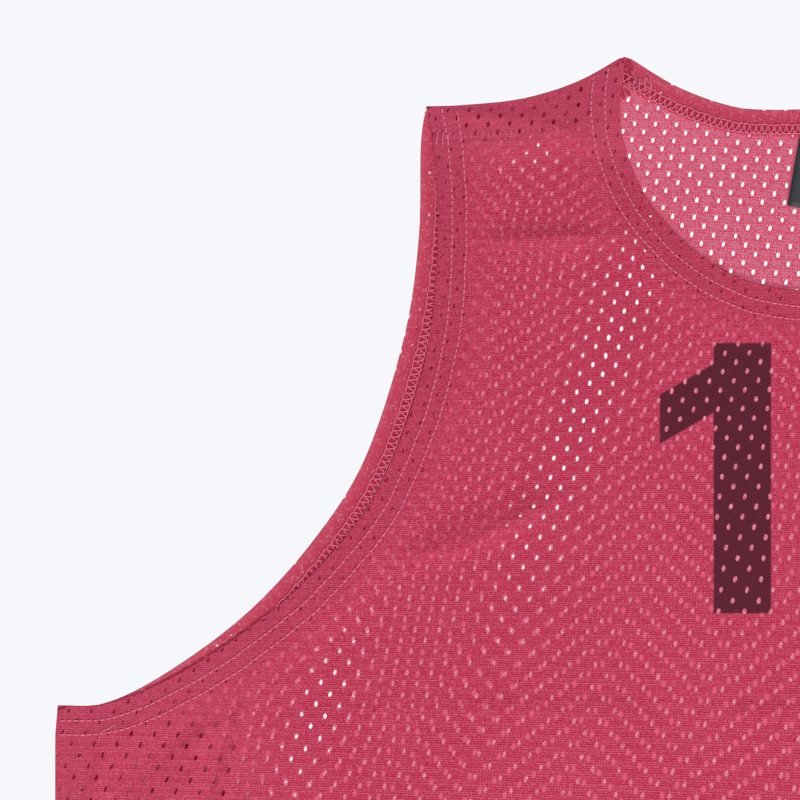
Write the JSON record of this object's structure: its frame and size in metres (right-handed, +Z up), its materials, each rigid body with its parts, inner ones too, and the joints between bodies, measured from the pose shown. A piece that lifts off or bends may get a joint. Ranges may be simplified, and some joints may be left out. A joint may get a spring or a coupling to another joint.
{
  "type": "training bib laid flat",
  "caption": "Sleeveless mesh training bib laid flat, front up: front and back panels with turned hems, seam allowances and a plain neck label.",
  "frame": {"origin": "on the surface the bib lies on, below the middle of its bounding box: centre line across, half way from the bottom hem to the neck points", "axes": "+Z up from the surface, +Y from the bottom hem to the neck, +X towards the wearer's left (the picture's right)"},
  "size_m": [0.613, 0.7202, 0.0054],
  "materials": {
    "mesh_cloth": "open knitted polyester mesh, pinkish red, soft dull sheen",
    "seam_cloth": "overlocked mesh, pinkish red",
    "label_cloth": "woven satin tape, black, plain"
  },
  "bodies": {
    "root": {"front_panel": "mesh_cloth", "back_panel": "mesh_cloth", "shoulder_seam_right": "seam_cloth", "shoulder_seam_left": "seam_cloth", "side_seam_right": "seam_cloth", "side_seam_left": "seam_cloth", "neck_label": "label_cloth"}
  },
  "joints": []
}
